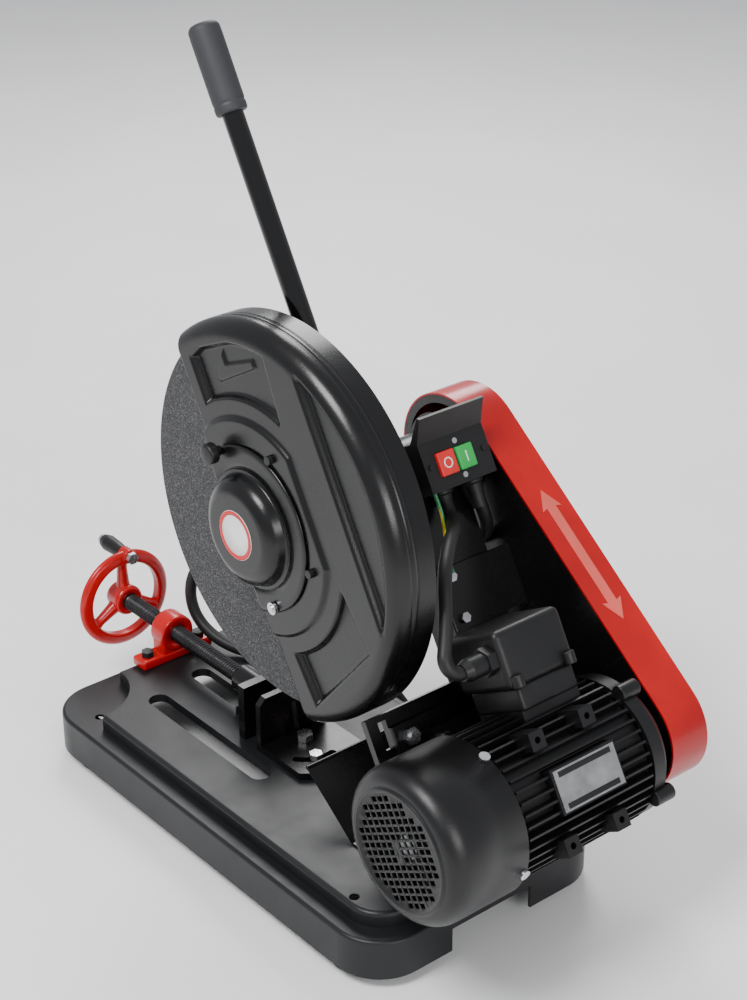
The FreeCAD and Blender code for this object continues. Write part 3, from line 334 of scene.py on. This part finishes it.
def rounded_profile(points, radius, steps=5):
    """Replaces the inner corners of a profile by short curves."""
    out = [points[0]]
    for before, corner, after in zip(points, points[1:], points[2:]):
        here, back, ahead = Vector(corner), Vector(before), Vector(after)
        reach = min(radius, 0.45 * (back - here).length, 0.45 * (ahead - here).length)
        start = here + (back - here).normalized() * reach
        end = here + (ahead - here).normalized() * reach
        for step in range(steps + 1):
            t = step / steps
            spot = start * (1 - t) ** 2 + here * 2 * t * (1 - t) + end * t ** 2
            out.append((spot.x, spot.y))
    out.append(points[-1])
    return out


def block(name, low, high, bevel, material, body, matrix):
    """A block between two corners in millimetres, with rounded edges."""
    piece = new_piece(name, box_corners(low, high), BOX_FACES, material, body, matrix)
    edge = piece.modifiers.new("edges", "BEVEL")
    edge.width = bevel * MM
    edge.segments = 4
    return piece


def thicken(piece, thickness, offset=-1):
    """Gives an open surface the thickness of its sheet, in millimetres."""
    skin = piece.modifiers.new("sheet", "SOLIDIFY")
    skin.thickness = thickness * MM
    skin.offset = offset


def tube_mesh(path, radius, sides=20):
    """Vertices and faces of a tube that follows a path, with closed ends."""
    points = [Vector(p) for p in path]
    tangents = [(points[min(i + 1, len(points) - 1)] - points[max(i - 1, 0)]).normalized()
                for i in range(len(points))]
    side = tangents[0].orthogonal().normalized()
    vertices = []
    for point, tangent in zip(points, tangents):
        side = (side - tangent * side.dot(tangent)).normalized()
        other = tangent.cross(side)
        for index in range(sides):
            angle = 2 * math.pi * index / sides
            vertices.append(point + (side * math.cos(angle) + other * math.sin(angle)) * radius)
    return vertices, capped_faces(len(points), sides)


def smooth_route(points):
    """The line of a NURBS spline that has these control points, in metres."""
    curve = bpy.data.curves.new("route", "CURVE")
    curve.dimensions = "3D"
    spline = curve.splines.new("NURBS")
    spline.points.add(len(points) - 1)
    for point, place in zip(spline.points, points):
        point.co = (*place, 1)
    spline.order_u = 3
    spline.use_endpoint_u = True
    spline.resolution_u = 8
    holder = bpy.data.objects.new("route", curve)
    bpy.context.scene.collection.objects.link(holder)
    mesh = bpy.data.meshes.new_from_object(holder)
    line = [v.co.copy() for v in mesh.vertices]
    bpy.data.objects.remove(holder)
    return line


# ---------------------------------------------------------------- guard
def polygon_depth(points, outline):
    """Distance inside a polygon: positive inside, negative outside."""
    points = np.asarray(points, float)
    nearest = np.full(len(points), 1e9)
    inside = np.zeros(len(points), bool)
    for (ay, az), (by, bz) in zip(outline, outline[1:] + outline[:1]):
        edge = np.array([by - ay, bz - az])
        offset = points - np.array([ay, az])
        share = np.clip(offset @ edge / (edge @ edge), 0, 1)
        nearest = np.minimum(nearest, np.hypot(*(offset - share[:, None] * edge).T))
        crosses = (az > points[:, 1]) != (bz > points[:, 1])
        with np.errstate(divide="ignore", invalid="ignore"):
            cut = ay + (points[:, 1] - az) * (by - ay) / (bz - az)
        inside ^= crosses & (points[:, 0] < cut)
    return np.where(inside, nearest, -nearest)


def ease(value):
    """A smooth step from 0 to 1."""
    value = np.clip(value, 0, 1)
    return value * value * (3 - 2 * value)


# sizes of the guard in millimetres, in the arm's axes; a panel's outline is (y, z) points
GUARD_RADIUS = 211.0
GUARD_CHORD = -31.0
GUARD_FACE = 95.5
SHOULDER = 19.0
HUB_HOLE = 75.0
HUB_STEP, HUB_STEP_RADIUS, HUB_STEP_REAR = 4.2, 113, 98
SEGMENT_FRONT, SEGMENT_RADIUS = 145, 196
PANEL_DEPTH, PANEL_SLOPE = 7.5, 5.5
PANEL_INNER, PANEL_OUTER = 131, 190
UPPER_PANEL = [(-16, 182), (7, 187), (78, 180), (109, 162), (98, 70), (-16, 100)]
LOWER_PANEL = [(104, -60), (117, -146), (-5, -190), (-14, -110), (60, -60)]
ARROW = [(10, 152), (36, 176), (36, 162), (82, 156), (82, 147), (16, 147)]
ARROW_RISE = 2.6
# the guard's side as (x, radius), with a groove and the seam's edge
GUARD_SIDE = [(75, GUARD_RADIUS), (73.5, GUARD_RADIUS - 1.2), (72, GUARD_RADIUS), (67, GUARD_RADIUS),
              (66, GUARD_RADIUS - 1), (65.2, GUARD_RADIUS)]
FACE_RINGS, SHOULDER_RINGS, GUARD_COLUMNS = 90, 12, 420
HUB_FRONT = 100.5
DOME_TOP = HUB_FRONT + 21.4
SIGN_RADIUS = 26
SIGN_RING = 21.5, 25.6
BUTTON_REAR, BUTTON_FACE = 72, 88.5


def guard_height(points, radius):
    """How far the pressed front face stands out along X at each point, in millimetres."""
    hub = np.minimum(HUB_STEP_RADIUS - radius, HUB_STEP_REAR - points[:, 0])
    segment = np.minimum(points[:, 0] - SEGMENT_FRONT, SEGMENT_RADIUS - radius)
    pressed = [np.minimum.reduce([polygon_depth(points, outline), radius - PANEL_INNER, PANEL_OUTER - radius])
               for outline in (UPPER_PANEL, LOWER_PANEL)]
    panels = np.maximum.reduce([*pressed, segment])
    arrow = polygon_depth(points, ARROW)
    height = GUARD_FACE + HUB_STEP * ease(hub / 6 + 0.5) - PANEL_DEPTH * ease(panels / PANEL_SLOPE)
    height += ARROW_RISE * ease(arrow / 2.5 + 0.3)
    shoulder = np.clip((radius - (GUARD_RADIUS - SHOULDER)) / SHOULDER, 0, 1)
    return height - SHOULDER * (1 - np.sqrt(1 - shoulder ** 2))


def chord_angles(radius, count):
    """Angles of an arc that starts and ends on the guard's straight cut."""
    reach = math.acos(GUARD_CHORD / radius)
    return np.linspace(-reach, reach, count)


def chord_arc(x, radius, count):
    """Vertices of such an arc at one x, in metres."""
    return [(x * MM, radius * MM * math.cos(angle), radius * MM * math.sin(angle))
            for angle in chord_angles(radius, count)]


def make_guard_front():
    """The pressed front half of the guard: a face with sunk panels, a round shoulder and a side."""
    rings = list(np.linspace(HUB_HOLE, GUARD_RADIUS - SHOULDER, FACE_RINGS))
    rings += [GUARD_RADIUS - SHOULDER + SHOULDER * math.sin(math.pi / 2 * k / SHOULDER_RINGS)
              for k in range(1, SHOULDER_RINGS + 1)]
    vertices = []
    for radius in rings:
        angles = chord_angles(radius, GUARD_COLUMNS)
        points = np.stack([radius * np.cos(angles), radius * np.sin(angles)], 1)
        heights = guard_height(points, np.full(GUARD_COLUMNS, radius))
        vertices += [(h * MM, y * MM, z * MM) for h, (y, z) in zip(heights, points)]
    for x, radius in GUARD_SIDE:
        vertices += chord_arc(x, radius, GUARD_COLUMNS)
    faces = [face[::-1] for face in grid_faces(len(rings) + len(GUARD_SIDE), GUARD_COLUMNS)]
    shell = new_piece("guard_front_shell", vertices, faces, "black_sheet", "arm", ARM_MATRIX)
    thicken(shell, 2.0)
    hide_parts("guard_front")


def make_hub_cover():
    """A pressed plate with a dome in its middle; the guard's chord cuts the plate but not the dome."""
    front, plate_x, edge_drop = HUB_FRONT, HUB_FRONT + 2.6, 1.2
    profile = [(front, 63), (front + 2.7, 63), (front + 3, 58.5), (front + 14, 55), (front + 21.2, 45),
               (front + 21.3, 0)]
    dome = lathe("hub_dome", rounded_profile(profile, 7, 9), "black_sheet", "hub", ARM_MATRIX, 128)
    plate_rings = [(plate_x, 61), (plate_x, 70), (plate_x, 80), (plate_x, 85), (plate_x - edge_drop, 87)]
    columns = 120
    vertices = []
    for x, radius in plate_rings:
        vertices += chord_arc(x, radius, columns)
    faces = [face[::-1] for face in grid_faces(len(plate_rings), columns)]
    plate = new_piece("hub_plate", vertices, faces, "black_sheet", "hub", ARM_MATRIX)
    thicken(plate, 1.6)
    for piece in (dome, plate):
        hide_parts("hub_cover")
    knob_profile = [(front + 2.7, 5), (front + 9, 5), (front + 9.5, 11), (front + 20, 10.5), (front + 21, 0)]
    knob_at = ARM_MATRIX @ shift(0, -6, 84)
    knob = lathe("hub_knob", rounded_profile(knob_profile, 3), "black_plastic", "hub", knob_at, 48)
    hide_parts("cover_knob")


def flat_ring(name, x, inner, outer, thick, material, body, matrix, segments):
    """A thin flat ring that faces along X."""
    profile = [(x, inner), (x + thick, inner), (x + thick, outer), (x, outer)]
    return lathe(name, profile, material, body, matrix, segments, ring=True)


def make_labels():
    """Plain prints: a red ring on white, and the marks of the two buttons."""
    low, high = DOME_TOP - 0.3, DOME_TOP + 0.25
    disc = [(low, SIGN_RADIUS), (high, SIGN_RADIUS), (high, 0)]
    lathe("sign_back", disc, "white_print", "hub", ARM_MATRIX)
    flat_ring("sign_ring", DOME_TOP + 0.2, *SIGN_RING, 0.4, "red_print", "hub", ARM_MATRIX, 96)

    face = ARM_MATRIX @ shift(-88.35, BUTTON_FACE, -2) @ Matrix.Rotation(math.pi / 2, 4, "Z")
    flat_ring("stop_mark", 0.0, 4.2, 5.6, 0.25, "white_print", "stop", face, 48)
    block("start_mark", (-113.9, 88.45, -7.5), (-112.6, 88.75, 3.5), 0.1, "white_print", "start", ARM_MATRIX)


# ---------------------------------------------------------------- vise
def make_vise_screw():
    """A trapezoidal thread: the bar's radius follows the helix of the pitch."""
    pitch, crest, root, sides = 4.0, 10.0, 8.3, 48
    crest_share, flank_share = 0.13, 0.16
    start, end, step = -384.0, -125.6, 0.4
    thread_start, run_in, run_out = -348, 3, 2
    vertices = []
    rows = int((end - start) / step) + 1
    for row in range(rows):
        along = start + row * step
        fade = min(1.0, max(0.0, (along - thread_start) / run_in), max(0.0, (end - along) / run_out))
        for index in range(sides):
            share = (along / pitch - index / sides) % 1.0
            wave = min(1.0, max(0.0, (abs(share - 0.5) - crest_share) / flank_share))
            radius = (crest - (crest - root) * wave * fade) * MM
            angle = 2 * math.pi * index / sides
            vertices.append((radius * math.cos(angle), along * MM, SCREW_AXIS.z + radius * math.sin(angle)))
    screw = new_piece("threaded_screw", vertices, capped_faces(rows, sides), "screw_steel", "screw")
    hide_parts("vise_screw")


def make_handle():
    """The ribbed rubber grip on the end of the handle tube."""
    at = ARM_MATRIX @ shift(5, 62, 0) @ Matrix.Rotation(-math.pi / 2, 4, "Y")
    profile = [(392, 11.2), (392, 15), (394, 16.3), (400, 16.5), (402, 15.6), (404, 16.4), (470, 16.5),
               (479, 16.2), (483, 13), (484, 8), (484, 0)]
    grip = lathe("rubber_grip", rounded_profile(profile, 3), "grip_rubber", "arm", at, 64)
    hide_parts("handle_grip")


def make_button(node, body, material, x0, x1, z0, z1):
    """One push button of the switch, between two x and two z."""
    low, high = (x0, BUTTON_REAR, z0), (x1, BUTTON_FACE, z1)
    button = block(f"{node}_cap", low, high, 1.6, material, body, ARM_MATRIX)
    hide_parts(node)


def make_spring():
    """A torsion spring wound round the pivot tube."""
    pivot = Vector(JOINTS["arm_swing"]["pos_m"])
    turns, wire, radius, left, length = 9, 2.1, 26.6, -37, 54
    per_turn = 36
    line = []
    for index in range(turns * per_turn + 1):
        angle = 2 * math.pi * index / per_turn
        along = left + length * index / (turns * per_turn)
        line.append(pivot + Vector((along, radius * math.cos(angle), radius * math.sin(angle))) * MM)
    vertices, faces = tube_mesh(line, wire * MM, 12)
    spring = new_piece("torsion_spring", vertices, faces, "steel", "arm")
    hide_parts("return_spring")


# ---------------------------------------------------------------- motor and castings
def carve(piece, boxes, matrix):
    """Cuts (low, high) boxes in millimetres out of a piece."""
    vertices, faces = [], []
    for low, high in boxes:
        start = len(vertices)
        vertices += [tuple(matrix @ Vector(corner)) for corner in box_corners(low, high)]
        faces += [tuple(start + index for index in side) for side in BOX_FACES]
    mesh = bpy.data.meshes.new("cutter")
    mesh.from_pydata(vertices, [], faces)
    cutter = bpy.data.objects.new("cutter", mesh)
    bpy.context.scene.collection.objects.link(cutter)
    modifier = piece.modifiers.new("holes", "BOOLEAN")
    modifier.operation = "DIFFERENCE"
    modifier.solver = "EXACT"
    modifier.object = cutter
    carved = bpy.data.meshes.new_from_object(piece.evaluated_get(bpy.context.evaluated_depsgraph_get()))
    piece.modifiers.clear()
    piece.data = carved
    bpy.data.objects.remove(cutter)


def make_fan_cover():
    """A drawn steel cap with a big shoulder and rows of square air holes."""
    radius, start, end, face = 81.0, 62, 153.5, 64.0
    shoulder = [(end - 22 + 20 * math.sin(t), radius - 17 * (1 - math.cos(t)))
                for t in np.linspace(0, math.pi / 2, 12)]
    outside = [(start, radius), *shoulder, (end - 0.4, face - 0.5), (end, face - 2), (end, face - 4),
               (end - 1.2, face - 5)]
    inside = [(end - 3, face - 2), (end - 5, face + 1), (end - 22, radius - 2), (start, radius - 2)]
    profile = [*outside, (end - 1.2, 0), (end - 2.8, 0), *inside]
    cap = lathe("fan_cap", profile, "motor_paint", "arm", MOTOR_MATRIX, 128, ring=True)
    pitch_y, pitch_z, half_y, half_z = 9.6, 7.6, 3.5, 2.5
    border, centre_radius = 6, 8
    holes = []
    for row in range(-7, 8):
        for column in range(-6, 7):
            y, z = column * pitch_y, row * pitch_z
            far_corner = math.hypot(abs(y) + half_y, abs(z) + half_z)
            if far_corner < face - border and math.hypot(y, z) > centre_radius:
                holes.append(((end - 8, y - half_y, z - half_z), (end + 4, y + half_y, z + half_z)))
    carve(cap, holes, MOTOR_MATRIX)
    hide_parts("fan_cover")


def make_motor_details():
    """Bolt lugs round both ends, the terminal box with its posts, and two bars on the blank plate."""
    lug_radius = 77
    for index in range(4):
        angle = math.radians(45 + 90 * index)
        y, z = lug_radius * math.cos(angle), lug_radius * math.sin(angle)
        drive = rounded_profile([(-136, 3.4), (-136, 8.6), (-112, 8.6), (-112, 3.4)], 1.5)
        lathe(f"drive_lug_{index}", drive, "motor_paint", "arm", MOTOR_MATRIX @ shift(0, y, z), 32)
        fan = rounded_profile([(61, 3.4), (61, 8), (78, 8), (78, 3.4)], 1.5)
        lathe(f"fan_lug_{index}", fan, "motor_paint", "arm", MOTOR_MATRIX @ shift(0, 0.9 * y, 0.9 * z), 32)
    lid = block("box_lid", (-89, -40, 99), (-2, 40, 158), 7, "black_plastic", "arm", MOTOR_MATRIX)
    base = block("box_base", (-84, -38, 75), (-10, 38, 100), 4, "black_plastic", "arm", MOTOR_MATRIX)
    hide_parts("terminal_box_lid")
    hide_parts("terminal_box")
    post = rounded_profile([(99.5, 0), (99.5, 6.5), (112, 6.5), (112, 0)], 1.2)
    for index, x in enumerate((-80, -12)):
        pillar = MOTOR_MATRIX @ shift(x, 41, 0) @ Matrix.Rotation(-math.pi / 2, 4, "Y")
        lathe(f"lid_post_{index}", post, "black_plastic", "arm", pillar, 32)
    for index, (low, high) in enumerate(((-18, -12.5), (13.5, 19))):
        corners = (-62, 77.6, low), (6, 78.1, high)
        block(f"plate_bar_{index}", *corners, 0.1, "black_plastic", "arm", MOTOR_MATRIX)


def make_handwheel():
    """A cast wheel: a thick rim, three tapered spokes, a hub and a boss for the crank."""
    along_y = Matrix.Translation(SCREW_AXIS) @ Matrix.Rotation(math.pi / 2, 4, "Z")
    rim = [(-7, 49.5), (-5.5, 58), (-2, 62), (2, 62), (5.5, 58), (7, 49.5), (5.5, 47), (-5.5, 47)]
    rim = rounded_profile([*rim, rim[0]], 2.5)[:-1]
    pieces = [lathe("wheel_rim", rim, "red_paint", "screw", along_y, 128, ring=True)]
    hub = rounded_profile([(-14, 10.1), (-14, 16), (10, 19), (14, 17), (14, 10.1)], 2)
    pieces.append(lathe("wheel_hub", hub, "red_paint", "screw", along_y, 64, ring=True))
    section = rounded_profile([(14, 0), (14, 9), (22, 7.5), (42, 6), (50, 8), (50, 0)], 3)
    for index, turn in enumerate((90, 210, 330)):
        outward = Vector((math.cos(math.radians(turn)), 0, math.sin(math.radians(turn))))
        spoke = Matrix.Translation(SCREW_AXIS) @ outward.to_track_quat("X", "Y").to_matrix().to_4x4()
        pieces.append(lathe(f"wheel_spoke_{index}", section, "red_paint", "screw", spoke, 32))
    boss = rounded_profile([(-8, 4.1), (-8, 9), (8, 9), (8, 4.1)], 2)
    boss_at = along_y @ shift(0, 8, 55)
    pieces.append(lathe("wheel_boss", boss, "red_paint", "screw", boss_at, 48, ring=True))
    for piece in pieces:
        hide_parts("handwheel")


def make_vise_bracket():
    """A casting with a flat foot and a round eye that the screw runs through."""
    front, rear, bore, eye_radius = -277, -252, 10.4, 22
    foot = block("vise_foot", (-49, front, 75), (49, rear, 87), 3, "red_paint", "base", WORLD)
    neck = block("vise_neck", (-21, front + 1, 84), (21, rear - 1, 107), 4, "red_paint", "base", WORLD)
    axis_z, half_gap = SCREW_AXIS.z / MM, bore + 0.2
    gap = ((-half_gap, front - 13, axis_z - half_gap), (half_gap, rear + 12, axis_z + half_gap))
    carve(neck, [gap], WORLD)
    eye_at = shift(0, 0, axis_z) @ Matrix.Rotation(math.pi / 2, 4, "Z")
    section = rounded_profile([(front, bore), (front, eye_radius), (rear, eye_radius), (rear, bore)], 2.5)
    eye = lathe("vise_eye", section, "red_paint", "base", eye_at, 96, ring=True)
    for piece in (foot, neck, eye):
        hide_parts("vise_bracket")


def make_arrow():
    """A pale double arrow on the belt cover's upper flank."""
    big, small, middle_x, lift = 68.9, 59.6, -180, 0.25
    motor_y, motor_z = 141.6, -320.8
    span = (MOTOR_MATRIX.translation - ARM_MATRIX.translation).length / MM
    lean = math.asin((big - small) / span)
    normal = math.atan2(motor_z, motor_y) + math.pi / 2 - lean
    out = Vector((0, math.cos(normal), math.sin(normal)))
    run = Vector((0, math.sin(normal), -math.cos(normal)))
    half = [(95, 0), (118, 13), (116, 6), (232, 6), (230, 13), (253, 0)]
    outline = half + [(along, -across) for along, across in half[-2:0:-1]]
    flat = [Vector((middle_x + across, 0, 0)) + out * (big + lift) + run * along for along, across in outline]
    vertices = [point * MM for point in flat]
    piece = new_piece("belt_arrow", vertices, [tuple(range(len(outline)))], "pale_red_print", "arm",
                      ARM_MATRIX, smooth=False)
    thicken(piece, 0.4, 0)


# ---------------------------------------------------------------- leads
LEAD_RADIUS = 0.007
# control points of the cord's line in millimetres: from the switch box to the coil, and on to the plug
MAINS_ROUTE = [(-126, 111.2, 412.4), (-128, 126.2, 386.5), (-141, 124.6, 353.3), (-146, 101.1, 325.9),
               (-145, 68.7, 314.1), (-138, 10, 300), (-124, -52, 288), (-108, -112, 274),
               (-90, -168, 256), (-70, -220, 230), (-52, -258, 196), (-42, -277, 164),
               (-38, -280, 134), (-38, -266, 108), (-44, -238, 92), (-58, -208, 83.4),
               (-78, -180, 82.6), (-102, -157, 82.6), (-128, -136, 84), (-153, -114, 84),
               (-175, -92, 62), (-184, -66, 33), (-186, -34, 12), (-185, 4, 7.6), (-184, 40, 7.6)]
PLUG_ROUTE = [(-340, 34, 20), (-342, 6, 26), (-341, -20, 27)]


def coil_points(low, high):
    """One turn and a half round the coil's ring; the second turn lies on the first."""
    middle = (low + high) / 2
    ring = (high.x - low.x) / 2 - LEAD_RADIUS - 0.5 * MM
    gap, steps = 0.6 * MM, 18
    climb_start, climb = 285, 55
    points = []
    for index in range(1, steps * 3 // 2 + 1):
        angle = 2 * math.pi * index / steps
        rise = min(1.0, max(0.0, (math.degrees(angle) - climb_start) / climb))
        height = LEAD_RADIUS + gap + rise * (2 * LEAD_RADIUS + gap / 3)
        points.append((middle.x + ring * math.cos(angle), middle.y + ring * math.sin(angle), height))
    return points


def make_mains_lead():
    """The cord from the switch box to the plug, with the reliefs of both leads at the box."""
    low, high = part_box("lead_coil")
    route = [tuple(value * MM for value in point) for point in MAINS_ROUTE]
    route += coil_points(low, high)
    route += [tuple(value * MM for value in point) for point in PLUG_ROUTE]
    path = smooth_route(route)
    vertices, faces = tube_mesh(path, LEAD_RADIUS)
    lead = new_piece("mains_cable", vertices, faces, "black_rubber", None)
    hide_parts("mains_lead", "lead_coil", "plug_lead")
    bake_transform(lead)

    collar = [(0, 7.1), (0, 12), (4, 12), (5, 9.5)]
    reliefs = (("mains_relief", -126, 66, [(30, 7.6), (30, 7.05)]),
               ("motor_lead_relief", -88, 62, [(16, 7.8), (16, 7.05)]))
    for name, x, y, tip in reliefs:
        down = ARM_MATRIX @ shift(x, y, -27.6) @ Matrix.Rotation(math.pi / 2, 4, "Y")
        lathe(name, rounded_profile([*collar, *tip], 1.5), "black_rubber", "arm", down, 40)


# ---------------------------------------------------------------- stage
def make_camera():
    """The photo's view: place in metres, then azimuth, height and roll in degrees."""
    place = Vector((1.1907, 1.5344, 1.3852))
    azimuth, height, roll = (math.radians(v) for v in (140.172, 27.278, -0.142))
    back = Vector((math.sin(azimuth) * math.cos(height), -math.cos(azimuth) * math.cos(height),
                   math.sin(height)))
    right = Vector((math.cos(azimuth), math.sin(azimuth), 0))
    above = back.cross(right)
    turned_right = right * math.cos(roll) + above * math.sin(roll)
    turned_up = above * math.cos(roll) - right * math.sin(roll)
    data = bpy.data.cameras.new("camera")
    data.sensor_width = 36
    data.lens = 76.19
    data.clip_end = 50
    camera = bpy.data.objects.new("camera", data)
    bpy.context.scene.collection.objects.link(camera)
    rotation = Matrix((turned_right, turned_up, back)).transposed()
    camera.matrix_world = Matrix.Translation(place) @ rotation.to_4x4()
    bpy.context.scene.camera = camera


def area_light(name, place, target, size, power):
    """A soft lamp that faces a target."""
    data = bpy.data.lights.new(name, "AREA")
    data.shape = "RECTANGLE"
    data.size, data.size_y = size
    data.energy = power
    lamp = bpy.data.objects.new(name, data)
    bpy.context.scene.collection.objects.link(lamp)
    lamp.location = place
    lamp.rotation_euler = (Vector(target) - Vector(place)).to_track_quat("-Z", "Y").to_euler()


def make_stage():
    """A pale floor and a studio with three soft lamps."""
    shader = Shader("floor").set(Roughness=0.8)
    shader.vary_color(shader.noise(3.0), (0.86, 0.86, 0.86), (0.9, 0.9, 0.9))
    reach = 9.0
    corners = [(-reach, -reach, 0), (reach, -reach, 0), (reach, reach, 0), (-reach, reach, 0)]
    mesh = bpy.data.meshes.new("floor")
    mesh.from_pydata(corners, [], [(0, 1, 2, 3)])
    mesh.materials.append(shader.material)
    floor = bpy.data.objects.new("floor", mesh)
    bpy.context.scene.collection.objects.link(floor)

    world = bpy.data.worlds.new("studio")
    world.use_nodes = True
    sky = world.node_tree.nodes["Background"].inputs
    sky["Color"].default_value = (0.95, 0.96, 1.0, 1)
    sky["Strength"].default_value = 0.62
    bpy.context.scene.world = world
    area_light("key", (1.6, 0.2, 2.6), (0, 0, 0.25), (1.1, 1.1), 85)
    area_light("rim", (-1.4, -1.6, 2.2), (0, 0, 0.3), (1.0, 1.8), 60)
    area_light("fill", (0.4, 2.6, 1.3), (0, 0.1, 0.2), (1.4, 0.8), 30)


paint_cad_nodes()
make_camera()
make_mains_lead()
make_guard_front()
make_hub_cover()
make_labels()
make_vise_screw()
make_handle()
make_button("stop_button", "stop", "red_plastic", -99.7, -77, -14.5, 10.5)
make_button("start_button", "start", "green_plastic", -124, -102.5, -14.5, 10)
make_spring()
make_fan_cover()
make_motor_details()
make_handwheel()
make_vise_bracket()
make_arrow()
make_stage()
